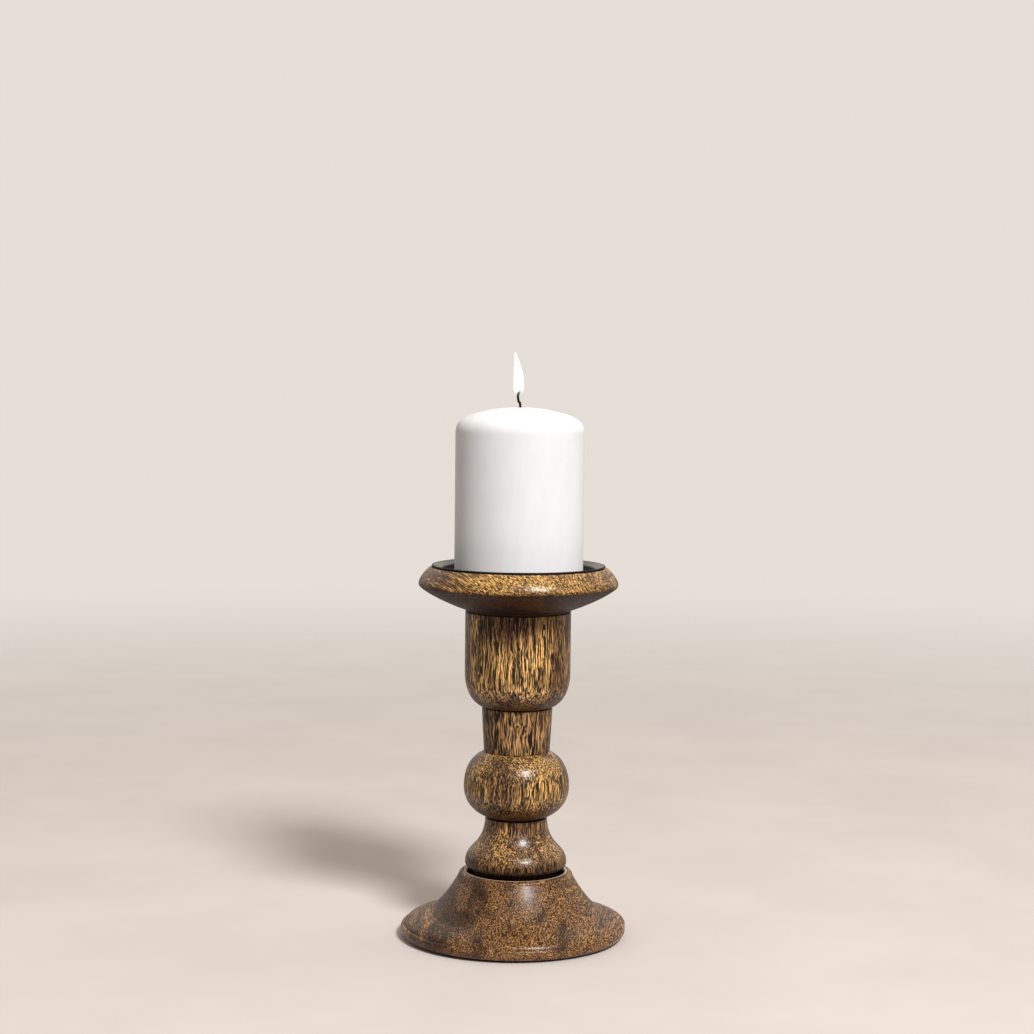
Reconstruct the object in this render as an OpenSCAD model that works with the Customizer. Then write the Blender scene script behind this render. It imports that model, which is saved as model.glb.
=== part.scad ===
// Turned wooden candlestick with a black steel drip pan and a pillar candle.
// Six turned pieces are stacked on a threaded tie rod, which the pricket closes at the top and a nut
// closes under the foot. Millimetres, +Z up, origin on the table in the middle of the foot.
// Every turned piece is an outline of [radius, height] points, spun round the Z axis.

/* [Foot] */
// Widest diameter of the foot
foot_d = 120; // [116:1:130]
// Height of the foot, from its underside to the top of its lip
foot_h = 34; // [32:0.2:37]
// Thickness of the felt under the foot
felt_t = 1.2; // [0.8:0.2:2]

/* [Stem] */
// Widest diameter of the bell, the ball and the barrel
stem_d = 56; // [54:0.5:60]
// Height of the bell above the lip of the foot
bell_h = 29; // [27:0.2:31]
// Height of the ball
ball_h = 35.2; // [33:0.2:39]
// Height of the neck
neck_h = 23.8; // [20:0.2:30]
// Diameter of the neck where it meets the barrel
neck_d = 37.4; // [34:0.2:40]
// Height of the barrel
barrel_h = 51; // [40:1:70]

/* [Dish] */
// Widest diameter of the dish
dish_d = 105.6; // [103:0.2:114]
// Height of the wooden dish
dish_h = 23.4; // [23:0.2:28]
// Diameter over the rim of the drip pan
pan_d = 91.6; // [88:0.2:92]
// Diameter of the well of the drip pan
well_d = 82; // [78:0.5:82.5]
// Thickness of the steel of the drip pan
pan_t = 1; // [0.8:0.1:1.2]

/* [Tie rod and pricket] */
// Diameter over the threads of the tie rod
rod_d = 6; // [5:1:6]
// Height of the pricket above the well of the drip pan
pricket_h = 28; // [22:1:32]

/* [Candle] */
// Diameter of the candle
candle_d = 68; // [60:1:70]
// Height of the candle
candle_h = 88; // [80:1:150]
// Diameter of the wick
wick_d = 1.4; // [1:0.1:2]
// Height of the flame
flame_h = 22; // [18:1:28]

/* [Hidden] */
$fn = 96;

wood_dark = [0.30, 0.18, 0.09];
wood_mid = [0.36, 0.22, 0.11];
wood_gold = [0.45, 0.29, 0.13];
steel_bright = [0.72, 0.72, 0.70];

// Radii
foot_r = foot_d / 2;
stem_r = stem_d / 2;
neck_r = neck_d / 2;
dish_r = dish_d / 2;
pan_r = pan_d / 2;
well_r = well_d / 2;
candle_r = candle_d / 2;
felt_r = foot_r - 4.5;
bore_r = rod_d / 2 + 0.3;            // the rod's hole through the wood and the pan

// Heights of the joints between the pieces, from the table up
foot_z = felt_t;
lip_z = foot_z + foot_h;
ball_z = lip_z + bell_h;
neck_z = ball_z + ball_h;
barrel_z = neck_z + neck_h;
dish_z = barrel_z + barrel_h;
land_z = dish_z + dish_h;            // top edge of the wood
rim_z = land_z + pan_t;              // top edge of the drip pan
well_z = rim_z - 5;                  // floor of the well, which the candle stands on

// Joints
reveal_r = foot_r - 34.4;            // recess in the top of the foot, a groove wider than the bell's root
reveal_depth = 5;
reveal_gap = 3.2;
spigot_r = 11;
spigot_h = 5;
top_spigot_r = 14;
joint_gap = 0.15;                    // radial glue gap of a spigot
end_gap = 0.3;                       // room past the end of a spigot

// Fasteners under the foot
pocket_r = 11;
pocket_h = 9;
washer_r = 9;
washer_t = 1.2;
nut_h = 5;
nut_flats = 10;
rod_low_z = foot_z + 1.6;

// Pricket and the hollow in the candle that clears it
collar_r = 8;
collar_h = 2;
spike_r = 5;
tip_r = 0.6;
thread_depth = 7;
spike_clear = 0.4;
wick_start = 4;                      // wick's lower end above the tip of the pricket

// ---------- outlines ----------

// Points of a cubic curve from a to d, which leaves a towards b and arrives at d from c
function curve(a, b, c, d, n = 10) =
    [for (i = [0:n]) let (t = i / n, s = 1 - t) s * s * s * a + 3 * s * s * t * b + 3 * s * t * t * c + t * t * t * d];

// Points of an arc round the centre c, from one angle to another
function arc(c, r, from, to, n = 6) =
    [for (i = [0:n]) let (a = from + (to - from) * i / n) c + r * [cos(a), sin(a)]];

function unit(v) = v / norm(v);
function left_of(v) = [-v.y, v.x];

// The path without points that repeat the one before
function distinct(p) = [for (i = [0:len(p) - 1]) if (i == 0 || norm(p[i] - p[i - 1]) > 0.001) p[i]];

// The path p moved sideways by t, to its left, with mitred corners
function beside(p, t) =
    [for (i = [0:len(p) - 1])
        let (a = unit(i > 0 ? p[i] - p[i - 1] : p[1] - p[0]),
             b = unit(i < len(p) - 1 ? p[i + 1] - p[i] : p[i] - p[i - 1]),
             n = unit(left_of(a) + left_of(b)))
        p[i] + n * t / (n * left_of(a))];

// Reversed list
function back(p) = [for (i = [len(p) - 1:-1:0]) p[i]];

module spin(points) {
    rotate_extrude() polygon(points);
}

// Hole of radius r round the axis, from z0 up to z1
module hole(r, z0, z1) {
    translate([0, 0, z0]) cylinder(r = r, h = z1 - z0);
}

// ---------- wood ----------

module foot() {
    bead_shift = 1.4;                 // the bead was turned a little off the axis of the rest
    bead_h = 5.6;
    shoulder = [foot_r - 13.2, foot_z + 12];
    upper = concat(
        [[0, foot_z + 0.4]],
        arc([foot_r - 4.4, foot_z + 3.4], 3, -75, 0, 8),
        curve([foot_r - 1.4, foot_z + bead_h], [foot_r - 1, foot_z + bead_h + 3],
              [foot_r - 7, foot_z + 9.4], shoulder),
        curve(shoulder, [foot_r - 18.8, foot_z + 14.9], [foot_r - 26.2, lip_z - 9.2], [foot_r - 29.8, lip_z - 1.8], 14),
        arc([foot_r - 31.8, lip_z - 2], 2, 14, 90),
        arc([reveal_r + 1, lip_z - 1], 1, 90, 180, 4),
        [[reveal_r, lip_z - reveal_depth], [0, lip_z - reveal_depth]]);
    bead = concat(
        [[0, foot_z], [foot_r - 3.7, foot_z]],
        arc([foot_r - 3.3, foot_z + 3], 3, -75, 20, 8),
        curve([foot_r - 0.5, foot_z + 4.1], [foot_r - 0.6, foot_z + 5],
              [foot_r - 1.1, foot_z + bead_h], [foot_r - 2.3, foot_z + bead_h], 4),
        [[0, foot_z + bead_h]]);
    color(wood_mid) difference() {
        union() {
            spin(upper);
            translate([-bead_shift, 0, 0]) spin(bead);
        }
        hole(bore_r, foot_z - 1, lip_z);
        hole(pocket_r, foot_z - 1, foot_z + pocket_h);
    }
}

module bell() {
    seat_z = lip_z - reveal_depth;
    root_r = reveal_r - reveal_gap;
    swell_z = lip_z + 4.9;
    turn = [stem_r - 6.1, lip_z + 14.4];
    slope = [2.9, -3];                // direction of the outline where it turns from convex to hollow
    outline = concat(
        [[0, seat_z], [root_r - 0.6, seat_z], [root_r, seat_z + 0.6]],
        curve([root_r, lip_z + 1.2], [root_r + 3.4, lip_z + 1.6], [stem_r - 1, swell_z - 1.6], [stem_r - 1, swell_z]),
        curve([stem_r - 1, swell_z], [stem_r - 1, swell_z + 4.3], turn + slope, turn),
        curve(turn, turn - slope, [stem_r - 11.5, ball_z - 6.8], [stem_r - 11.5, ball_z - 0.5], 12),
        [[stem_r - 12, ball_z], [0, ball_z]]);
    color(wood_mid) difference() {
        spin(outline);
        hole(bore_r, seat_z - 1, ball_z + 1);
        hole(spigot_r + joint_gap, ball_z - spigot_h - end_gap, ball_z + 1);
    }
}

module ball() {
    middle_z = ball_z + 16.4;
    outline = concat(
        [[0, ball_z - spigot_h], [spigot_r, ball_z - spigot_h], [spigot_r, ball_z], [stem_r - 13, ball_z]],
        curve([stem_r - 12.1, ball_z + 0.4], [stem_r - 7.6, ball_z + 1.9],
              [stem_r, middle_z - 9.8], [stem_r, middle_z], 14),
        curve([stem_r, middle_z], [stem_r, middle_z + 10.5],
              [stem_r - 4.6, neck_z - 2.7], [stem_r - 10.2, neck_z - 0.3], 14),
        [[stem_r - 10.8, neck_z], [0, neck_z]]);
    color(wood_gold) difference() {
        spin(outline);
        hole(bore_r, ball_z - spigot_h - 1, neck_z + 1);
        hole(spigot_r + joint_gap, neck_z - spigot_h - end_gap, neck_z + 1);
    }
}

module neck() {
    outline = concat(
        [[0, neck_z - spigot_h], [spigot_r, neck_z - spigot_h], [spigot_r, neck_z], [neck_r - 1.6, neck_z]],
        curve([neck_r - 1.2, neck_z + 0.4], [neck_r - 1, neck_z + 6],
              [neck_r - 0.3, neck_z + 14], [neck_r, barrel_z - 0.4], 8),
        [[neck_r - 0.4, barrel_z], [spigot_r, barrel_z], [spigot_r, barrel_z + spigot_h], [0, barrel_z + spigot_h]]);
    color(wood_dark) difference() {
        spin(outline);
        hole(bore_r, neck_z - spigot_h - 1, barrel_z + spigot_h + 1);
    }
}

module barrel() {
    outline = concat(
        [[0, barrel_z], [neck_r - 0.2, barrel_z]],
        curve([neck_r + 0.4, barrel_z + 0.3], [neck_r + 4.7, barrel_z + 2.3],
              [stem_r, barrel_z + 7.5], [stem_r, barrel_z + 18.7], 16),
        [[stem_r, dish_z - 0.6], [stem_r - 0.6, dish_z], [top_spigot_r, dish_z],
         [top_spigot_r, dish_z + spigot_h], [0, dish_z + spigot_h]]);
    color(wood_gold) difference() {
        spin(outline);
        hole(bore_r, barrel_z - 1, dish_z + spigot_h + 1);
        hole(spigot_r + joint_gap, barrel_z - 1, barrel_z + spigot_h + end_gap);
    }
}

module dish() {
    nose_z = dish_z + 14.6;
    recess_z = well_z - pan_t;
    flange_gap = 0.25;
    outline = concat(
        [[0, dish_z], [stem_r - 0.2, dish_z]],
        curve([stem_r + 0.1, dish_z + 0.8], [stem_r + 7.2, dish_z + 3.2],
              [dish_r - 6.5, dish_z + 8], [dish_r - 1, dish_z + 12.5], 14),
        curve([dish_r - 1, dish_z + 12.5], [dish_r - 0.2, dish_z + 13.2],
              [dish_r, nose_z - 0.9], [dish_r, nose_z], 6),
        curve([dish_r, nose_z], [dish_r, nose_z + 2.4],
              [dish_r - 4, land_z - 1.5], [dish_r - 6.3, land_z - 0.2], 12),
        [[pan_r - 0.3, land_z - flange_gap], [well_r + 1.6, land_z - flange_gap - 1.4],
         [well_r + 1.6, recess_z], [0, recess_z]]);
    color(wood_gold) difference() {
        spin(outline);
        hole(bore_r, dish_z - 1, recess_z + 1);
        hole(top_spigot_r + joint_gap, dish_z - 1, dish_z + spigot_h + end_gap);
    }
}

// ---------- metal ----------

module drip_pan() {
    inside = concat(
        [[0, well_z]],
        curve([well_r - 3.4, well_z], [well_r - 1.6, well_z], [well_r - 1, well_z + 0.8], [well_r - 0.6, well_z + 2.4], 6),
        curve([well_r - 0.6, well_z + 2.4], [well_r - 0.4, well_z + 3.2],
              [well_r + 0.2, rim_z - 1.6], [well_r + 1, rim_z - 1.3], 5),
        [[pan_r - 0.5, rim_z], [pan_r - 0.1, rim_z - 0.1], [pan_r, rim_z - 0.5]]);
    outside = beside(distinct([for (p = inside) if (p.x < pan_r - 0.2) p]), -pan_t);
    color([0.06, 0.06, 0.06]) difference() {
        spin(concat(back(outside), inside));
        hole(bore_r, well_z - 2 * pan_t, well_z + pan_t);
    }
}

module pricket() {
    color(steel_bright) difference() {
        spin(concat([[0, well_z], [collar_r - 0.3, well_z], [collar_r, well_z + 0.3], [collar_r, well_z + collar_h - 0.5],
                     [collar_r - 0.5, well_z + collar_h], [spike_r + 0.8, well_z + collar_h],
                     [spike_r, well_z + collar_h + 0.8]],
                    arc([0, well_z + pricket_h - tip_r], tip_r, 10, 90, 4)));
        hole(rod_d / 2, well_z - 1, well_z + thread_depth + 0.5);
    }
}

module tie_rod() {
    top_z = well_z + thread_depth;
    chamfer = 0.8;
    r = rod_d / 2;
    color(steel_bright)
        spin([[0, rod_low_z], [r - chamfer, rod_low_z], [r, rod_low_z + chamfer],
              [r, top_z - chamfer], [r - chamfer, top_z], [0, top_z]]);
}

module rod_washer() {
    color(steel_bright) difference() {
        hole(washer_r, foot_z + pocket_h - washer_t, foot_z + pocket_h);
        hole(bore_r, foot_z, foot_z + pocket_h + 1);
    }
}

module rod_nut() {
    top_z = foot_z + pocket_h - washer_t;
    across_corners = nut_flats / cos(30);
    color(steel_bright) difference() {
        intersection() {
            translate([0, 0, top_z - nut_h]) cylinder(d = across_corners, h = nut_h, $fn = 6);
            spin([[0, top_z - nut_h], [nut_flats / 2 - 0.2, top_z - nut_h], [across_corners / 2, top_z - nut_h + 0.7],
                  [across_corners / 2, top_z], [0, top_z]]);
        }
        hole(rod_d / 2, top_z - nut_h - 1, top_z + 1);
    }
}

// ---------- felt ----------

module base_felt() {
    color([0.10, 0.10, 0.09]) hole(felt_r, 0, felt_t);
}

// ---------- candle ----------

top_z = well_z + candle_h;
spike_top_z = well_z + pricket_h;
wick_low_z = spike_top_z + wick_start;
wick_out_z = top_z - 0.6;

module candle_wax() {
    crown = [candle_r - 10.5, top_z - 3.2];
    outline = concat(
        [[0, well_z], [candle_r - 1.2, well_z]],
        arc([candle_r - 1.2, well_z + 1.2], 1.2, -90, 0, 4),
        curve([candle_r, top_z - 13.3], [candle_r, top_z - 8], [candle_r - 3.5, top_z - 5], crown, 12),
        curve(crown, crown + [-7, 1.9], [candle_r / 3, top_z], [0, top_z]));
    color([0.97, 0.96, 0.93]) difference() {
        spin(distinct(outline));
        hole(collar_r + 2, well_z - 1, well_z + collar_h + 1);
        spin([[0, well_z], [spike_r + spike_clear, well_z], [spike_r + spike_clear, well_z + collar_h + 1.5],
              [tip_r + spike_clear, spike_top_z + spike_clear], [0, spike_top_z + spike_clear + 0.4]]);
        hole(wick_d / 2, wick_low_z, top_z + 1);
    }
}

// The wick comes up straight, leans to the left as it leaves the wax, and curls back near its tip.
// It is a chain of straight strands, with a slightly thicker ball at each bend.
wick_path = [[0, wick_low_z], [0, wick_out_z], [-0.9, wick_out_z + 3.6], [-1.3, wick_out_z + 6.2],
             [-1.1, wick_out_z + 7.8], [-0.3, wick_out_z + 9]];
wick_tip = wick_path[len(wick_path) - 1];

module wick() {
    bend_d = wick_d + 0.12;
    color([0.08, 0.07, 0.06]) union() {
        for (i = [1:len(wick_path) - 1]) {
            along = wick_path[i] - wick_path[i - 1];
            translate([wick_path[i - 1].x, 0, wick_path[i - 1].y]) rotate([0, atan2(along.x, along.y), 0])
                cylinder(d = wick_d, h = norm(along));
        }
        for (i = [1:len(wick_path) - 1])
            translate([wick_path[i].x, 0, wick_path[i].y]) sphere(d = bend_d);
    }
}

module flame() {
    overlap = 1.2;                    // how far the flame reaches down past the tip of the wick
    widest = 3;
    sway = 4.5;
    color([1.0, 0.85, 0.45])
        translate([wick_tip.x - 0.5, 0, wick_tip.y - overlap]) rotate([0, -sway, 0])
        spin(distinct(concat(
            curve([0, 0], [1.8, 0], [widest, 2.4], [widest, 6], 8),
            curve([widest, 6], [widest, 11], [0.9, flame_h - 5.5], [0, flame_h], 12))));
}

base_felt();
foot();
bell();
ball();
neck();
barrel();
dish();
drip_pan();
pricket();
tie_rod();
rod_washer();
rod_nut();
candle_wax();
wick();
flame();
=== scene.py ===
# %% [markdown]
# # A turned candlestick and its candle
#
# This lesson dresses a working model of a wooden candlestick: six turned pieces of wood, a black
# pan, a spike, the rod that clamps them, and a lit pillar candle. The model brings every shape and
# size with it, in metres, with the turning axis on Z. We only add what the eye wants to see:
# wood grain, lacquer, enamel, wax, a braided wick and a flame.
#
# First we load the model.

# %% Load the frame
import math

import bmesh
import bpy
from mathutils import Matrix, Vector


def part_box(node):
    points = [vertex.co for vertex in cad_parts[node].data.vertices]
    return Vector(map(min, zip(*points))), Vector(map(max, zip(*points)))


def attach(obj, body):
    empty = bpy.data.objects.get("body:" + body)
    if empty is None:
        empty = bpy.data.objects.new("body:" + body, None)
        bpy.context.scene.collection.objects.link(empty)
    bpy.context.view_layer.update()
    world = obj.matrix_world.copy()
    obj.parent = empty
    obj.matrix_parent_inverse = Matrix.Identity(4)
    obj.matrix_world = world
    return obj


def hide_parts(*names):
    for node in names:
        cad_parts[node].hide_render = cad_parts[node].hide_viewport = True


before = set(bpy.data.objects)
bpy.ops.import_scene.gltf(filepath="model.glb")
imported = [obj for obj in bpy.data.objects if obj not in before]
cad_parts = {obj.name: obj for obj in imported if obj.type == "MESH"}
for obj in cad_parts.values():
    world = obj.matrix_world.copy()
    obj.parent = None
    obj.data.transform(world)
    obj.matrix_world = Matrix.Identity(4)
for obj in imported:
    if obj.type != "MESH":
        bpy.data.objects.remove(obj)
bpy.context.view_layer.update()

print("pieces in the frame:", ", ".join(sorted(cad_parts)))

# %% [markdown]
# ## Two small tools for finishes
#
# A Blender finish is a net of nodes. Drawn by hand it is quick to read, but in a script each wire
# takes a line, and the sum hides in the wiring. So we wrap one socket in a class called `Wire` and
# teach it Python's signs. Then `1 - mask * 0.3` builds the Math nodes by itself.
#
# A Math node turns a colour grey, so a Wire that carries a vector uses Vector Math instead, and
# colours are blended with a Mix node.

# %% A socket that understands + - * and /
MATH, VECTOR_MATH = "ShaderNodeMath", "ShaderNodeVectorMath"


def is_number(value):
    """True for a plain number, and for a Wire that carries one."""
    if isinstance(value, Wire):
        return value.socket.type == "VALUE"
    return not hasattr(value, "__len__")


class Wire:
    """One output socket in a net of nodes."""

    def __init__(self, net, socket):
        self.net, self.socket = net, socket

    def reckon(self, operation, first, second):
        kind = MATH if is_number(first) and is_number(second) else VECTOR_MATH
        return self.net.node(kind, {"operation": operation}, {0: first, 1: second})

    def __add__(self, other):
        return self.reckon("ADD", self, other)

    def __radd__(self, other):
        return self.reckon("ADD", other, self)

    def __sub__(self, other):
        return self.reckon("SUBTRACT", self, other)

    def __rsub__(self, other):
        return self.reckon("SUBTRACT", other, self)

    def __mul__(self, other):
        return self.reckon("MULTIPLY", self, other)

    def __rmul__(self, other):
        return self.reckon("MULTIPLY", other, self)

    def __truediv__(self, other):
        return self.reckon("DIVIDE", self, other)

    def __rtruediv__(self, other):
        return self.reckon("DIVIDE", other, self)

    def rise(self, low, high):
        """0 where this value is at low, 1 where it is at high, with soft ends."""
        return self.net.node("ShaderNodeMapRange", {"interpolation_type": "SMOOTHSTEP"},
                             {"Value": self, "From Min": low, "From Max": high})


print("a Wire knows", sum(name.startswith("__r") for name in vars(Wire)), "signs, from either side")

# %% [markdown]
# The second tool is the net itself. `node` makes any node: its settings come first, such as an
# operation or the stops of a colour ramp, then the values or wires for its sockets. The other
# methods are the handful of moves that a finisher makes again and again.

# %% A net of nodes
def even(size):
    """The same size along all three axes."""
    return (size, size, size)


class Net:
    """A tree of nodes, for a finish or for the world."""

    def __init__(self, tree):
        self.tree = tree
        tree.nodes.clear()

    def node(self, kind, settings=None, sockets=None, out=0):
        """Make a node, set it up, fill its sockets, and hand back one of its outputs."""
        made = self.tree.nodes.new(kind)
        for name, value in (settings or {}).items():
            if name == "stops":
                self.set_stops(made.color_ramp.elements, value)
            else:
                setattr(made, name, value)
        for name, value in (sockets or {}).items():
            if isinstance(value, Wire):
                self.tree.links.new(value.socket, made.inputs[name])
            else:
                made.inputs[name].default_value = value
        return Wire(self, made.outputs[out]) if made.outputs else made

    def set_stops(self, elements, stops):
        while len(elements) < len(stops):
            elements.new(1)
        for element, (place, colour) in zip(elements, stops):
            element.position, element.color = place, colour

    def place(self):
        """The point being painted, in metres, in the frame's own axes."""
        return self.node("ShaderNodeTexCoord", out="Object")

    def part(self, point, axis):
        """One of a point's three numbers."""
        return self.node("ShaderNodeSeparateXYZ", None, {0: point}, out=axis)

    def distance(self, point, other):
        return self.node(VECTOR_MATH, {"operation": "DISTANCE"}, {0: point, 1: other}, out="Value")

    def from_axis(self, point):
        """How far the point is from the turning axis."""
        return self.distance(point * (1, 1, 0), (0, 0, 0))

    def noise(self, point, per_metre, detail=2.0, out=0):
        return self.node("ShaderNodeTexNoise", None,
                         {"Vector": point, "Scale": per_metre, "Detail": detail}, out=out)

    def mix(self, share, first, second, blend="MIX"):
        return self.node("ShaderNodeMix", {"data_type": "RGBA", "blend_type": blend},
                         {0: share, 6: first, 7: second}, out=2)

    def bump(self, height, depth, strength=1.0):
        return self.node("ShaderNodeBump", None,
                         {"Height": height, "Distance": depth, "Strength": strength})


print("one millimetre on all three axes is", even(0.001))

# %% [markdown]
# Every finish in this lesson ends in one Principled shader. `finish` makes the material, runs the
# recipe that says what its sockets get, and hands the material back. `dress` puts it on pieces of
# the frame.

# %% Make a finish and put it on
def rgb(red, green, blue):
    return (red, green, blue, 1)


def finish(name, recipe, *ingredients):
    material = bpy.data.materials.new(name)
    material.use_nodes = True
    net = Net(material.node_tree)
    surface = net.node("ShaderNodeBsdfPrincipled", None, recipe(net, *ingredients))
    net.node("ShaderNodeOutputMaterial", None, {"Surface": surface})
    print(f"{name}: {len(material.node_tree.nodes)} nodes")
    return material


def dress(material, *pieces):
    for piece in pieces:
        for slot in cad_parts[piece].material_slots:
            slot.material = material


# %% [markdown]
# ## The camera
#
# The candlestick is seen from the front, a little from above, from a bit over a metre away. From
# that far off the outlines of the turned pieces stay honest, where from close by the foot would look
# swollen. A long lens then makes up for the distance.

# %% Place the camera
SENSOR = 36.0                       # millimetres across
LENS = 78.61
EYE = Vector((-0.00115, -1.1879, 0.3075))
LOOK_DOWN = 4.029                   # degrees below level
ROLL = 0.595

camera = bpy.data.objects.new("camera", bpy.data.cameras.new("camera"))
bpy.context.collection.objects.link(camera)
camera.data.sensor_width = SENSOR
camera.data.lens = LENS
tilt = Matrix.Rotation(math.radians(90 - LOOK_DOWN), 4, "X")
camera.matrix_world = Matrix.Translation(EYE) @ tilt @ Matrix.Rotation(math.radians(ROLL), 4, "Z")
bpy.context.scene.camera = camera
print("the camera stands", round(EYE.length, 2), "m from the foot")

# %% [markdown]
# ## The room
#
# A lacquered piece shows the room in its gloss, so the room matters even when it is plain. Ours is
# pale behind the candlestick and darker behind the viewer, as in a studio where the only bright
# wall is the one in the picture, and less light comes from below than from above. The eye itself
# sees one even pale tone all round, so that every side of the piece can be looked at against the
# same ground.
#
# The picture's colours are shown as they are, without a film curve, because the whites of wax and
# wall would turn grey under one.

# %% Paint the room
bpy.context.scene.view_settings.view_transform = "Standard"

PALE_WALL = rgb(0.79, 0.735, 0.68)      # the tone that the eye sees
ROOM_BACK = rgb(0.84, 0.77, 0.70)       # what shines from behind the candlestick
ROOM_FRONT = rgb(0.31, 0.28, 0.25)      # and from behind the viewer
ROOM_FLOOR = rgb(0.03, 0.03, 0.03)
FROM_BELOW = 0.35                       # the share of the walls' light that is left low down

world = bpy.data.worlds.new("room")
bpy.context.scene.world = world
world.use_nodes = True
room = Net(world.node_tree)
direction = room.node("ShaderNodeTexCoord", out="Generated")
behind = room.part(direction, "Y").rise(-0.35, 0.6)
above = room.part(direction, "Z").rise(-0.15, 0.4) * (1 - FROM_BELOW) + FROM_BELOW
glow = room.mix(above, ROOM_FLOOR, room.mix(behind, ROOM_FRONT, ROOM_BACK))
seen = room.node("ShaderNodeLightPath", out="Is Camera Ray")
sky = room.node("ShaderNodeBackground", None, {"Color": room.mix(seen, glow, PALE_WALL)})
room.node("ShaderNodeOutputWorld", None, {"Surface": sky})
print("the room is painted with", len(world.node_tree.nodes), "nodes")

# %% [markdown]
# The floor is a pale disc. Its rim would draw a hard line across the picture, so the disc fades
# away with distance, and the wall's tone takes over.

# %% Lay the floor
FLOOR_R = 3.0
SEEN_FADE = (0.35, 1.9)             # how far out the floor fades, as the eye sees it
BOUNCE_FADE = (0.22, 0.42)          # and as the light sees it, which is the size of a small table
CLOUDS, NAP = 9, 900                # soft clouds and fine nap, as repeats in a metre


def floor_recipe(net):
    here = net.place()
    cloudy = net.noise(here, CLOUDS, 3)
    fine = net.noise(here, NAP, 2)
    tone = net.mix(cloudy.rise(0.3, 0.7), rgb(0.66, 0.607, 0.582), rgb(0.70, 0.645, 0.62))
    seen = net.node("ShaderNodeLightPath", out="Is Camera Ray")
    away = net.from_axis(here)
    fade = seen * away.rise(*SEEN_FADE) + (1 - seen) * away.rise(*BOUNCE_FADE)
    return {"Base Color": tone, "Roughness": 0.9, "Specular IOR Level": 0.1,
            "Alpha": 1 - fade,
            "Normal": net.bump(fine, 0.0002, 0.3)}


sheet = bmesh.new()
bmesh.ops.create_circle(sheet, cap_ends=True, segments=96, radius=FLOOR_R)
floor_mesh = bpy.data.meshes.new("floor")
sheet.to_mesh(floor_mesh)
sheet.free()
floor = bpy.data.objects.new("floor", floor_mesh)
bpy.context.collection.objects.link(floor)
floor_mesh.materials.append(finish("pale_floor", floor_recipe))

# %% [markdown]
# ## The light
#
# One softbox does the modelling. It stands to the right of the viewer and well above the piece, so
# it lights the candle from the right, drops the shadow to the left and behind, and leaves one small
# white spot on each swelling of the wood. How big that spot is depends on how big the softbox looks
# from the table, so we give its width as an angle.

# %% Set the softbox
AIM = Vector((0, 0, 0.14))
KEY_AZIMUTH, KEY_HEIGHT = 27.0, 42.0        # degrees right of the viewer, and above level
KEY_AWAY = 3.0
KEY_SPREAD = 14.0                           # degrees across, seen from the table
KEY_POWER = 93.0


def towards(azimuth, height):
    """The direction from the table to a place this far to the right of the viewer and this high."""
    around, up = math.radians(azimuth), math.radians(height)
    return Vector((math.cos(up) * math.sin(around), -math.cos(up) * math.cos(around), math.sin(up)))


lamp = bpy.data.lights.new("key_light", "AREA")
lamp.shape = "DISK"
lamp.size = 2 * KEY_AWAY * math.tan(math.radians(KEY_SPREAD / 2))
lamp.energy = KEY_POWER
lamp.color = (1.0, 0.985, 0.965)
softbox = bpy.data.objects.new("key_light", lamp)
bpy.context.collection.objects.link(softbox)
way = towards(KEY_AZIMUTH, KEY_HEIGHT)
softbox.location = AIM + way * KEY_AWAY
softbox.rotation_euler = way.to_track_quat("Z", "Y").to_euler()
print(f"the softbox is {lamp.size:.2f} m across")

# %% [markdown]
# ## Wood
#
# The six turned pieces are cut from different blocks, stained dark and lacquered. Wood is a bundle
# of long fibres, and a lathe cuts through the bundle wherever the outline goes. So a flat picture of
# grain wrapped round a ball always looks wrong, and we build the grain as a solid instead: each
# point in space knows its colour, and the surface shows whatever it cuts through. Where the surface
# runs along the grain we see streaks, and where it crosses the grain we see specks, for free.
#
# The trick is one line: divide the distance along the grain before reading a noise, and the round
# blobs of the noise come out as long threads.

# %% Threads along the grain
def across(net, point, grain):
    """The point moved along the grain to the plane through the middle."""
    along = net.node(VECTOR_MATH, {"operation": "DOT_PRODUCT"}, {0: point, 1: grain}, out="Value")
    return point - net.node(VECTOR_MATH, {"operation": "SCALE"}, {0: grain, "Scale": along})


def drawn(net, point, grain, times):
    """The point with its distance along the grain divided, so that what is read there is longer."""
    level = across(net, point, grain)
    return level + (point - level) / even(times)


# %% [markdown]
# A piece of this wood has five scales of detail, and each has its own cause:
#
# - patches a few centimetres across, where the stain took more or less;
# - year rings, which are shells about the pith of the tree;
# - streaks a few millimetres wide, which are bundles of fibres that took the stain alike;
# - fibres half a millimetre thick and more than a centimetre long;
# - pores, the cut vessels, which are thinner still and nearly black, because stain pooled in them.
#
# The first three add up to one number. Where it is high the wood shines golden, and where it is low
# it is plain brown. Most pieces also have a golden lit spot on their front, where the gold is
# strongest: partly the wood's own figure, partly painted light where the softbox falls.
#
# Rings and threads never run straight, so we push each point a little before we read them there: a
# slow sway of some millimetres, and for the threads a quick wobble of about one.

# %% Read the figure of the wood
SWAY, WOBBLE = 38, 210              # repeats in a metre
SWAY_REACH, WOBBLE_REACH, RING_REACH = 0.004, 0.0012, 0.008
PATCH_LONG, STREAK_LONG, FIBRE_LONG, PORE_LONG = 1.8, 28, 24, 13     # times as long as they are wide
PORE_FINE = 1.4                     # this many pores side by side take the room of one fibre
PATCH_SHARE = 0.62                  # of the figure is patches and rings, and the rest is streaks
# painted light in part: how much gold the lit spot on a piece's front adds
LIT_SPOT_GOLD = 0.14


def wander(net, point, per_metre, detail):
    """A push in some direction that changes slowly from place to place."""
    return net.noise(point, per_metre, detail, out=1) - even(0.5)


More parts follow.
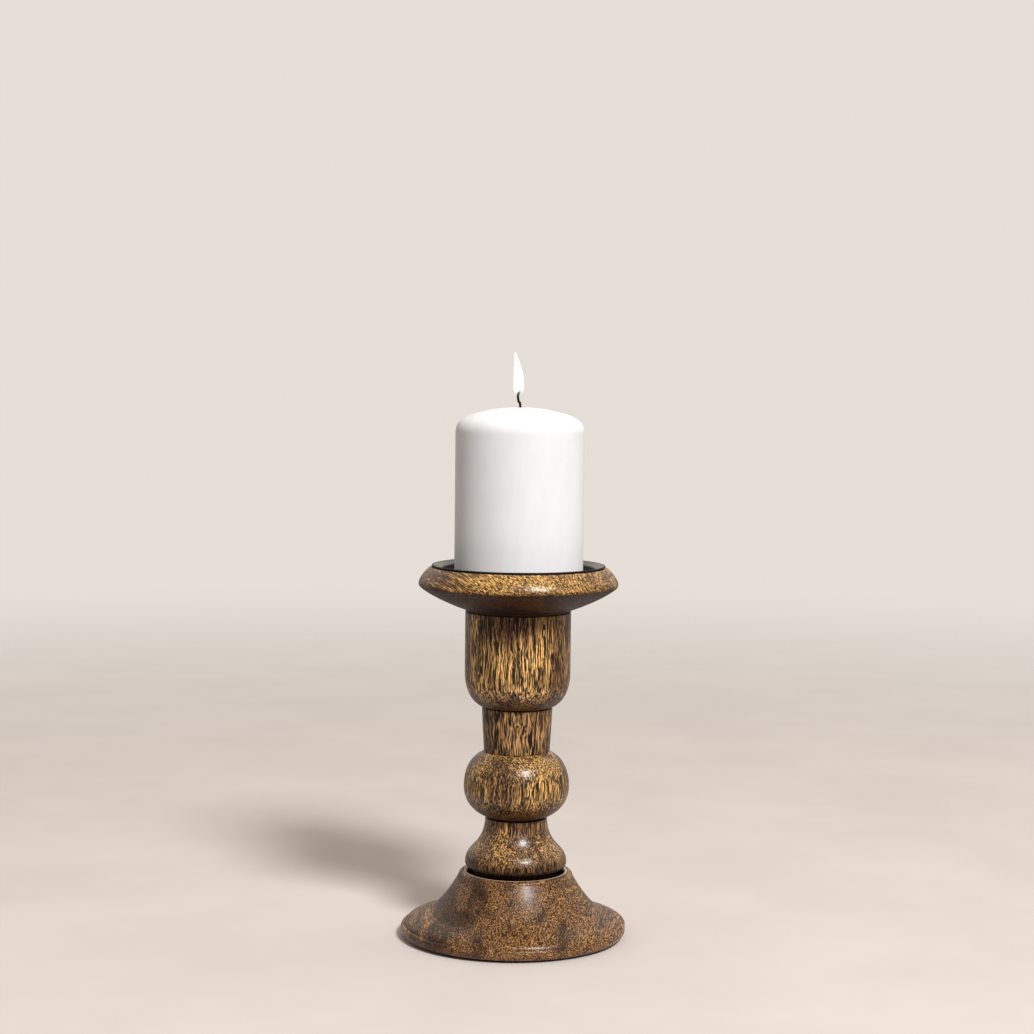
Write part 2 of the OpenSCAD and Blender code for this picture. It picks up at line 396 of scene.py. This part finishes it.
def threads(net, block, here):
    """Streaks, fibres and vessels, in that order."""
    inside = here + block["cut_from"]
    pushed = (inside + wander(net, inside, SWAY, 2) * even(SWAY_REACH)
              + wander(net, inside, WOBBLE, 1) * even(WOBBLE_REACH))
    rays = drawn(net, pushed, block["ray"], block["ray_length"])
    grain, fibre = block["grain"], block["fibre"]
    return (net.noise(drawn(net, rays, grain, STREAK_LONG), block["streak"], 2),
            net.noise(drawn(net, rays, grain, FIBRE_LONG), fibre, 1),
            net.noise(drawn(net, rays, grain, PORE_LONG), PORE_FINE * fibre, 1))


def year_rings(net, block, here):
    """Light and dark shells about the pith."""
    bent = here + wander(net, here + block["cut_from"], SWAY, 2) * even(RING_REACH)
    away = net.distance(across(net, bent, block["grain"]), block["pith"])
    return net.node("ShaderNodeTexNoise", {"noise_dimensions": "1D"},
                    {"W": away, "Scale": block["rings"], "Detail": 2})


def gold(net, block, here, streaks):
    """1 where the wood shines golden, 0 where it is plain brown."""
    inside = here + block["cut_from"]
    patches = net.noise(drawn(net, inside, block["grain"], PATCH_LONG), block["patch"], 2)
    ringed = block["ringed"]
    heart, reach = block["heart"]
    # the lit spot is partly the wood's figure and partly painted light on the front that faces the softbox
    near_golden_lit_spot = 1 - net.distance(here, heart).rise(0, reach)
    figure = (patches * (PATCH_SHARE - ringed) + year_rings(net, block, here) * ringed
              + streaks * (1 - PATCH_SHARE) + near_golden_lit_spot * LIT_SPOT_GOLD + block["golden"])
    return figure.rise(*block["spread"])


print(f"a fibre is drawn out {FIBRE_LONG} times, and a pore {PORE_LONG} times")

# %% [markdown]
# Stain and painted light come next. Stain gathers in a joint and dries there as a dark line. On the
# inner edge of the foot's lip a thin light ring is a painted highlight. And towards the bottom of each
# piece, under its swelling, the wood is painted darker as painted shade, and its lacquer is thinner
# and duller there.

# %% Seams, a painted highlight and painted shade
SEAM, SEAM_DARK = 0.0006, 0.9       # how far the dark line reaches from a joint, and how dark it is
GLINT_EDGE = 0.0003                        # how softly the painted highlight on the lip starts and stops
INK = rgb(0.008, 0.005, 0.003)      # stain that has pooled in a pore or a joint
PAINTED_GLINT = rgb(0.60, 0.48, 0.37)      # painted highlight: a thin light ring on the inner edge of the foot's lip
PAINTED_SHADE = rgb(0.15, 0.10, 0.07)     # painted shade: how much of the wood's own colour is left at the bottom of a piece


def near_seams(net, height, seams):
    """1 at the heights where two pieces meet, 0 where the dark line ends."""
    dark = 0
    for seam in seams:
        gap = net.node(MATH, {"operation": "ABSOLUTE"}, {0: height - seam})
        dark = dark + (1 - gap.rise(0.25 * SEAM, SEAM))
    return net.node(MATH, {"operation": "MINIMUM"}, {0: dark, 1: 1})


def painted_glint_ring(net, here, radius, top):
    """1 on a narrow ring of this inner radius, at the top of a piece, where a highlight is painted."""
    far_out, height = net.from_axis(here), net.part(here, "Z")
    ring = far_out.rise(radius - GLINT_EDGE, radius) * (1 - far_out.rise(radius + 2 * GLINT_EDGE, radius + 3 * GLINT_EDGE))
    return ring * height.rise(top - 2 * GLINT_EDGE, top - GLINT_EDGE)


def seams_and_painted_light(net, block, here, colour):
    """The colour with its dark joints, painted highlight and painted shade, and how strong the painted shade
    is here, from 0 to 1.
    """
    height = net.part(here, "Z")
    if block["rubbed"]:
        # a painted highlight: a thin light ring on the lip's inner edge
        colour = net.mix(painted_glint_ring(net, here, *block["rubbed"]), colour, PAINTED_GLINT)
    if block["seams"]:
        colour = net.mix(near_seams(net, height, block["seams"]) * SEAM_DARK, colour, INK)
    low, high, depth = block["dark_below"]
    # painted shade: the wood is darker towards the bottom of the piece
    shade_and_thin_coat = (1 - height.rise(low, high)) * depth
    return net.mix(shade_and_thin_coat, colour, net.mix(1.0, colour, PAINTED_SHADE, "MULTIPLY")), shade_and_thin_coat


print(f"the dark line at a joint is {2 * SEAM * 1000:.1f} mm wide")

# %% [markdown]
# Now everything goes into one recipe. A fibre lights up or darkens whatever colour it lies in, and a
# pore is inked over it. The lacquer on top is smooth, so it is a Coat, and the pores sink a little
# under it. The lacquer is thin at the bottom of each piece, where the shade is painted.

# %% The recipe for stained and lacquered wood
LACQUER = {"Coat Roughness": 0.26, "Coat IOR": 1.5, "Specular IOR Level": 0.2}
FIBRE_BAND = (0.40, 0.70)           # from a dull fibre to a bright one
PORE_BAND = (0.50, 0.64)            # from solid wood to an open pore
GOLD_CLOSES = 0.35                  # golden wood is denser, so its pores show less
# how much of the lacquer is gone where the shade is painted
HOLLOW_DULLS = 0.95


def wood_recipe(net, block, colours):
    here = net.place()
    streaks, fibres, vessels = threads(net, block, here)
    golden = gold(net, block, here, streaks)
    lit = block["shade"] + fibres.rise(*FIBRE_BAND) * block["shine"]
    pore = vessels.rise(*PORE_BAND) * block["pores"] * (1 - golden * GOLD_CLOSES)
    stained = net.mix(pore, net.mix(golden, *colours) * lit, INK)
    colour, shade_and_thin_coat = seams_and_painted_light(net, block, here, stained)
    return {**LACQUER, "Base Color": colour,
            "Coat Weight": block["coat"] * (1 - shade_and_thin_coat * HOLLOW_DULLS),
            "Roughness": 0.38 + pore * 0.2 + fibres * 0.1,
            "Normal": net.bump(fibres * 0.4 - pore, 0.0001, 0.35)}


# %% [markdown]
# Each block of wood is a short list of facts, and most of them are the same for every block:
#
# - `grain` is the way its fibres run, `pith` a point that its year rings go round, and `cut_from`
#   its place in the tree, so that no two pieces show the same marks;
# - `ray` is a way across the fibres, from pith to bark, in which marks are drawn out `ray_length`
#   times;
# - `patch`, `streak`, `fibre` and `rings` say how many of each fit in a metre;
# - `ringed` says how strongly the rings show, `golden` makes the whole piece a little more golden or
#   less, `spread` is the step from brown to gold, and `heart` is the spot on its front where
#   the gold is strongest, partly figure and partly painted light, and how far that reaches;
# - `shade` and `shine` are how bright a dull fibre is and how much brighter a bright one, `pores`
#   how dark the pores are, and `coat` how much lacquer lies on top;
# - `seams` are the heights of its joints, `rubbed` the radius and height of the ring where a
#   highlight is painted on its lip, and `dark_below` the two heights between which its
#   painted shade fades out, and how strong that shade is.
#
# A block without a golden lit spot or painted shade gets one too small or too faint to see.

# %% What every block has in common
USUAL = {
    "ray": (1, 0, 0), "ray_length": 1.0,
    "patch": 60, "streak": 520, "fibre": 1450, "rings": 240,
    "ringed": 0.2, "golden": 0.0, "spread": (0.40, 0.60), "heart": ((0, 0, 0), 0.001),
    "shade": 0.08, "shine": 3.4, "pores": 0.9, "coat": 0.6,
    "seams": (), "rubbed": (), "dark_below": (0, 0.001, 0),
}


def block(**facts):
    """A block of wood: what is usual, and then the facts of its own."""
    return {**USUAL, **facts}


print(f"a usual fibre is about {1000 / USUAL['fibre']:.1f} mm thick")

# %% [markdown]
# Four of the six blocks stand upright in the stem, so their grain runs up the axis. The foot and the
# dish are wide, so they were cut from boards that lay flat: their grain runs from front to back, and
# the front of each shows end grain. The brown and the gold differ a little from block to block, as
# the stain took differently.

# %% Measure where the pieces meet
UPRIGHT = (0, 0, 1)
FOOT_GRAIN = (0.1, 0.995, 0)
DISH_GRAIN = (-0.41, 0.912, 0)
LIP_R = 0.0267                      # the rounded inner edge of the foot's lip, where a highlight is painted
NOSE_DROP = 0.0092                  # from the top of the dish down to just under its outer edge

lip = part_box("foot")[1].z
bell_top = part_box("bell")[1].z
ball_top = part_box("ball")[1].z
barrel_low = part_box("barrel")[0].z
dish_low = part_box("dish")[0].z
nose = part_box("dish")[1].z - NOSE_DROP
print("joints at", [round(z, 4) for z in (bell_top, ball_top, barrel_low, dish_low)])

# %% Give each turned piece its block
blocks = {
    "barrel": block(
        grain=UPRIGHT, pith=(0.02, 0.09, 0), cut_from=(0.31, 0.12, 0.05), fibre=1650, shine=3.6,
        heart=((-0.004, -0.028, (barrel_low + dish_low) / 2), 0.026),
        seams=(barrel_low, dish_low), dark_below=(barrel_low + 0.001, barrel_low + 0.013, 0.8)),
    "neck": block(
        grain=UPRIGHT, pith=(-0.05, 0.06, 0), cut_from=(0.71, 0.42, 0.35), fibre=1600,
        shade=0.03, shine=4.0, coat=0.4, seams=(barrel_low,)),
    "ball": block(
        grain=UPRIGHT, pith=(-0.045, -0.01, 0), cut_from=(0.13, 0.57, 0.25), fibre=1750, coat=0.5,
        heart=((0.012, -0.02, ball_top - 0.012), 0.02),
        seams=(bell_top,), dark_below=(bell_top + 0.001, bell_top + 0.015, 0.9)),
    "bell": block(
        grain=UPRIGHT, pith=(0.06, 0.03, 0), cut_from=(0.91, 0.27, 0.65), fibre=1800, golden=-0.01,
        seams=(bell_top,), dark_below=(lip + 0.001, lip + 0.013, 1.0)),
    "foot": block(
        grain=FOOT_GRAIN, pith=(0.026, 0, 0.016), cut_from=(0.37, 0.83, 0.15),
        patch=20, streak=110, fibre=1800, rings=55, ringed=0.42, golden=0.01, spread=(0.43, 0.57),
        heart=((0.004, -0.060, 0.004), 0.022),
        shade=0.2, shine=2.8, pores=0.75, coat=0.24, rubbed=(LIP_R, lip)),
    "dish": block(
        grain=DISH_GRAIN, pith=(0.03, 0, 0.32), cut_from=(0.53, 0.17, 0.45),
        ray=(-0.67, 0, 0.742), ray_length=2.0, streak=700, fibre=2300, golden=-0.04,
        heart=((-0.006, -0.052, nose + 0.004), 0.036),
        shade=0.2, shine=3.0, pores=0.8, coat=0.45,
        seams=(dish_low,), dark_below=(nose - 0.0015, nose + 0.0010, 1.0)),
}
brown_and_gold = {
    "barrel": (rgb(0.110, 0.052, 0.020), rgb(0.34, 0.192, 0.066)),
    "neck": (rgb(0.066, 0.031, 0.013), rgb(0.19, 0.104, 0.040)),
    "ball": (rgb(0.085, 0.040, 0.015), rgb(0.29, 0.162, 0.052)),
    "bell": (rgb(0.095, 0.045, 0.017), rgb(0.27, 0.148, 0.050)),
    "foot": (rgb(0.050, 0.022, 0.010), rgb(0.175, 0.086, 0.031)),
    "dish": (rgb(0.120, 0.056, 0.020), rgb(0.38, 0.212, 0.064)),
}
for piece, facts in blocks.items():
    dress(finish(f"{piece}_wood", wood_recipe, facts, brown_and_gold[piece]), piece)

# %% [markdown]
# ## Metal and felt
#
# The pan is pressed steel under black enamel. Enamel is glass, so it has nearly no colour of its
# own and a clear reflection where we look along it, which is why the flat flange round the pan
# looks grey. The well inside it is dull with soot and old wax, and the cut rim outside it turns
# away from the light, so both stay black.

# %% Black enamel
WELL_R = 0.0403                     # where the wall of the well turns out into the flange
TURN = 0.0008                       # how wide that turn is
PAN_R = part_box("drip_pan")[1].x
RIM, RIM_TURN = 0.0009, 0.0005      # how wide the black rim is, and how softly it starts
GLOSS, DULL = 0.80, 0.05            # how much clear glass lies on the flange, and elsewhere


def enamel_recipe(net):
    here = net.place()
    orange_peel = net.noise(here, 420, 2)
    handled = net.noise(here, 60, 3)
    far_out = net.from_axis(here)
    flange = far_out.rise(WELL_R, WELL_R + TURN) * (1 - far_out.rise(PAN_R - RIM, PAN_R - RIM + RIM_TURN))
    return {"Base Color": net.mix(handled.rise(0.3, 0.7), rgb(0.004, 0.004, 0.004), rgb(0.014, 0.013, 0.012)),
            "Roughness": 0.45 + handled * 0.2, "Specular IOR Level": 0.2,
            "Coat Weight": DULL + flange * (GLOSS - DULL), "Coat Roughness": 0.14,
            "Normal": net.bump(orange_peel, 0.0001, 0.15)}


dress(finish("black_enamel", enamel_recipe), "drip_pan")

# %% [markdown]
# The rod, nut, washer and spike are zinc plated. Zinc shows two things: the fine rings that the
# tool left, which we get by squeezing a noise along Z, and the spangle, where each crystal of zinc
# has its own grey.

# %% Zinc plated steel
def zinc_recipe(net):
    here = net.place()
    tool_rings = net.noise(here * (1, 1, 14), 260, 2)
    spangle = net.node("ShaderNodeTexVoronoi", None, {"Vector": here, "Scale": 700}, out="Color")
    tint = net.mix(net.part(spangle, 0).rise(0.2, 0.8), rgb(0.50, 0.51, 0.52), rgb(0.66, 0.66, 0.64))
    return {"Base Color": tint, "Metallic": 1.0, "Roughness": 0.26 + tool_rings * 0.2,
            "Normal": net.bump(tool_rings, 0.00008, 0.4)}


dress(finish("zinc_steel", zinc_recipe), "pricket", "tie_rod", "rod_washer", "rod_nut")

# %% [markdown]
# The felt keeps the foot from scratching the table. Felt is hairs that lie every way, gathered in
# clumps, so one noise bends another, and a little sheen stands for the hair ends at the edge.

# %% Wool felt
def felt_recipe(net):
    here = net.place()
    curl = net.noise(here, 600, 1, out=1) * even(0.002)
    hairs = net.noise(here + curl, 1700, 3)
    clumps = net.noise(here, 260, 2)
    thick = (hairs * 0.6 + clumps * 0.4).rise(0.35, 0.65)
    return {"Base Color": net.mix(thick, rgb(0.018, 0.017, 0.015), rgb(0.075, 0.072, 0.065)),
            "Roughness": 0.95, "Sheen Weight": 0.3, "Sheen Roughness": 0.5,
            "Normal": net.bump(hairs, 0.0004, 0.6)}


dress(finish("dark_felt", felt_recipe), "base_felt")

# %% [markdown]
# ## Wax
#
# Paraffin is white because light goes in, scatters about, and comes out somewhere else. That is
# subsurface scattering, and it softens the edge of every shadow on the candle. On top of it lie a
# faint frost, from the wax crystals, and round the wick a small melted spot, which is glassy and a
# little yellow.

# %% The candle's body
WAX_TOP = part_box("candle_wax")[1].z
MELT_R = 0.0042                     # the melted spot round the wick


def wax_recipe(net):
    here = net.place()
    frost = net.noise(here * (1, 1, 0.35), 150, 4)
    grainy = net.noise(here, 1100, 2)
    solid = net.mix(frost.rise(0.3, 0.7), rgb(0.855, 0.86, 0.88), rgb(0.89, 0.895, 0.915))
    at_top = net.part(here, "Z").rise(WAX_TOP - 0.01, WAX_TOP - 0.005)      # not in the hollow below
    melted = (1 - net.from_axis(here).rise(0.4 * MELT_R, MELT_R)) * at_top
    return {"Base Color": net.mix(melted, solid, rgb(0.82, 0.68, 0.30)),
            "Roughness": 0.62 - melted * 0.5 + frost * 0.1, "Specular IOR Level": 0.35,
            "Subsurface Weight": 0.35, "Subsurface Radius": (0.006, 0.005, 0.004), "Subsurface Scale": 1.0,
            "Normal": net.bump(grainy * 0.3 + frost, 0.00012, 0.3)}


dress(finish("white_wax", wax_recipe), "candle_wax")

# %% [markdown]
# ## The wick
#
# A wick is a braid of cotton. The frame has a plain rod in its place, so we braid a better one and
# let it stand for that rod: three strands, each a thin tube that winds about the same path. The path
# comes up through the wax, leaves it leaning to the left, and curls back at the tip, where it burns.
#
# `tube` is the one mesh tool we need. It carries a ring of points along a path and joins each ring
# to the next.

# %% A tube along a path
def tube(name, path, radii, sides):
    """A tube through these points, with a fan of triangles over each end."""
    shape = bmesh.new()
    rings = []
    for i, (point, radius) in enumerate(zip(path, radii)):
        ahead = path[min(i + 1, len(path) - 1)] - path[max(i - 1, 0)]
        side = ahead.cross(Vector((0, 1, 0))).normalized()
        other = ahead.cross(side).normalized()
        angles = [2 * math.pi * k / sides for k in range(sides)]
        ring = [point + radius * (math.cos(a) * side + math.sin(a) * other) for a in angles]
        rings.append([shape.verts.new(spot) for spot in ring])
    for low_ring, high_ring in zip(rings, rings[1:]):
        for k in range(sides):
            j = (k + 1) % sides
            shape.faces.new((low_ring[k], low_ring[j], high_ring[j], high_ring[k]))
    for ring, end in ((rings[0], path[0]), (rings[-1], path[-1])):
        tip = shape.verts.new(end)
        for k in range(sides):
            shape.faces.new((ring[k], tip, ring[(k + 1) % sides]))
    bmesh.ops.recalc_face_normals(shape, faces=shape.faces)
    mesh = bpy.data.meshes.new(name)
    shape.to_mesh(mesh)
    shape.free()
    mesh.shade_smooth()
    return mesh


# %% [markdown]
# The path of the wick is a handful of listed points, and a smooth curve through them. We
# keep the length walked so far at every step, because the strands wind by length, not by height.

# %% Draw the path of the wick
def smooth_path(points, steps):
    """A Catmull-Rom curve through the points, with this many steps between each two."""
    ends = [2 * points[0] - points[1], *points, 2 * points[-1] - points[-2]]
    path = []
    for a, b, c, d in zip(ends, ends[1:], ends[2:], ends[3:]):
        for step in range(steps):
            t = step / steps
            path.append(0.5 * (2 * b + (c - a) * t + (2 * a - 5 * b + 4 * c - d) * t ** 2
                               + (3 * b - a - 3 * c + d) * t ** 3))
    return path + [points[-1]]


STEPS = 24
wick_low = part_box("wick")[0].z
out_z = WAX_TOP - 0.0006            # where the wick leaves the wax
bends = [(-0.0009, 0.0036), (-0.0013, 0.0062), (-0.0011, 0.0078), (-0.0003, 0.0090)]    # right, up

wick_points = [Vector((0, 0, z)) for z in (wick_low, (wick_low + out_z) / 2, out_z)]
wick_points += [Vector((right, 0, out_z + up)) for right, up in bends]
middle = smooth_path(wick_points, STEPS)
lengths = [0.0]
for a, b in zip(middle, middle[1:]):
    lengths.append(lengths[-1] + (b - a).length)
print("the wick is", round(lengths[-1] * 1000, 1), "mm long")

# %% Braid the wick
STRANDS, STRAND_SIDES = 3, 10
STRAND_R = 0.00036
WIND_R = 0.00034                    # how far each strand keeps from the middle of the wick
PITCH = 0.0036                      # length of one full turn
FRAYED = 0.7                        # how much of a strand's thickness is left at its end

braid = bmesh.new()
for strand in range(STRANDS):
    wound = []
    for point, length in zip(middle, lengths):
        angle = 2 * math.pi * (length / PITCH + strand / STRANDS)
        wound.append(point + WIND_R * Vector((math.cos(angle), math.sin(angle), 0)))
    thickness = [STRAND_R] * (len(wound) - 1) + [STRAND_R * FRAYED]
    braid.from_mesh(tube("strand", wound, thickness, STRAND_SIDES))
wick_mesh = bpy.data.meshes.new("braided_wick")
braid.to_mesh(wick_mesh)
braid.free()
wick_mesh.shade_smooth()
wick = bpy.data.objects.new("braided_wick", wick_mesh)
bpy.context.collection.objects.link(wick)
print("the braid has", len(wick_mesh.polygons), "faces")

# %% [markdown]
# Inside the wax the cotton is still cream. Above the wax it is char: black, dull and cracked.

# %% Char the wick
def wick_recipe(net):
    here = net.place()
    fuzz = net.noise(here * (1, 1, 0.4), 4200, 3)
    charred = net.part(here, "Z").rise(WAX_TOP - 0.0020, WAX_TOP - 0.0006)
    cotton = net.mix(fuzz, rgb(0.42, 0.36, 0.24), rgb(0.66, 0.60, 0.46))
    char = net.mix(fuzz.rise(0.4, 0.7), rgb(0.003, 0.002, 0.002), rgb(0.016, 0.013, 0.012))
    return {"Base Color": net.mix(charred, cotton, char), "Roughness": 0.9,
            "Specular IOR Level": 0.2, "Normal": net.bump(fuzz, 0.00015, 0.7)}


wick_mesh.materials.append(finish("charred_cotton", wick_recipe))
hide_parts("wick")
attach(wick, "candle")

# %% [markdown]
# ## The flame
#
# A still flame is a drop of glowing soot: round and clear where it wraps the wick, widest low down,
# and drawn out to a point. This one leans to the left, so its left side is nearly straight and its
# right side carries the belly. We make it as a tube of rings whose radius follows a quarter ellipse
# up to the widest place and a cosine from there to the tip.

# %% Shape the flame
FLAME_R = 0.0027
WIDEST = 0.22                       # share of the height where the flame is widest
TAPER = 0.9                         # below 1, the flame keeps its width for longer on the way up
FLAME_LEFT = -0.0036                # its straight left side
TIP_SHIFT = 0.0005                  # how far the tip bends back to the right
BELOW = 0.0015                      # its clear foot starts this far under the frame's flame
FLAME_STEPS, FLAME_SIDES = 48, 32
THINNEST = 0.00003

flame_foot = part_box("flame")[0].z - BELOW
flame_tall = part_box("flame")[1].z - flame_foot


def flame_radius(t):
    """The radius at a share t of the height."""
    if t < WIDEST:
        return FLAME_R * math.sqrt(1 - (1 - t / WIDEST) ** 2)
    return FLAME_R * math.cos(math.pi / 2 * (t - WIDEST) / (1 - WIDEST)) ** TAPER


shares = [(1 - math.cos(math.pi * i / FLAME_STEPS)) / 2 for i in range(FLAME_STEPS + 1)]
flame_path, flame_radii = [], []
for t in shares:
    radius = flame_radius(t)
    left = FLAME_LEFT + TIP_SHIFT * t ** 3 + (FLAME_R - radius) * max(0.0, 1 - t / WIDEST)
    flame_path.append(Vector((left + radius, 0, flame_foot + t * flame_tall)))
    flame_radii.append(max(radius, THINNEST))
flame_mesh = tube("candle_flame", flame_path, flame_radii, FLAME_SIDES)
flame = bpy.data.objects.new("candle_flame", flame_mesh)
bpy.context.collection.objects.link(flame)
print("the flame is", round(flame_tall * 1000, 1), "mm high")

# %% [markdown]
# The glow is an emission, so it needs no light of its own. It is clear and a little blue at the
# foot, where the wick shows through, then cream, nearly white in the middle, and cream again at the
# tip.

# %% Light the flame
def flame_recipe(net):
    height = (net.part(net.place(), "Z") - flame_foot) / flame_tall
    glow = net.node("ShaderNodeValToRGB",
                    {"stops": [(0.0, rgb(0.80, 0.78, 0.85)), (0.16, rgb(1.0, 0.92, 0.72)),
                               (0.45, rgb(1.0, 0.97, 0.86)), (1.0, rgb(1.0, 0.96, 0.80))]}, {0: height})
    return {"Base Color": rgb(0, 0, 0), "Roughness": 1.0, "Specular IOR Level": 0.0,
            "Emission Color": glow, "Emission Strength": 1.6,
            "Alpha": 0.03 + height.rise(0.04, 0.24) * 0.93}


flame_mesh.materials.append(finish("glowing_flame", flame_recipe))
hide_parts("flame")
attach(flame, "candle")

# %% [markdown]
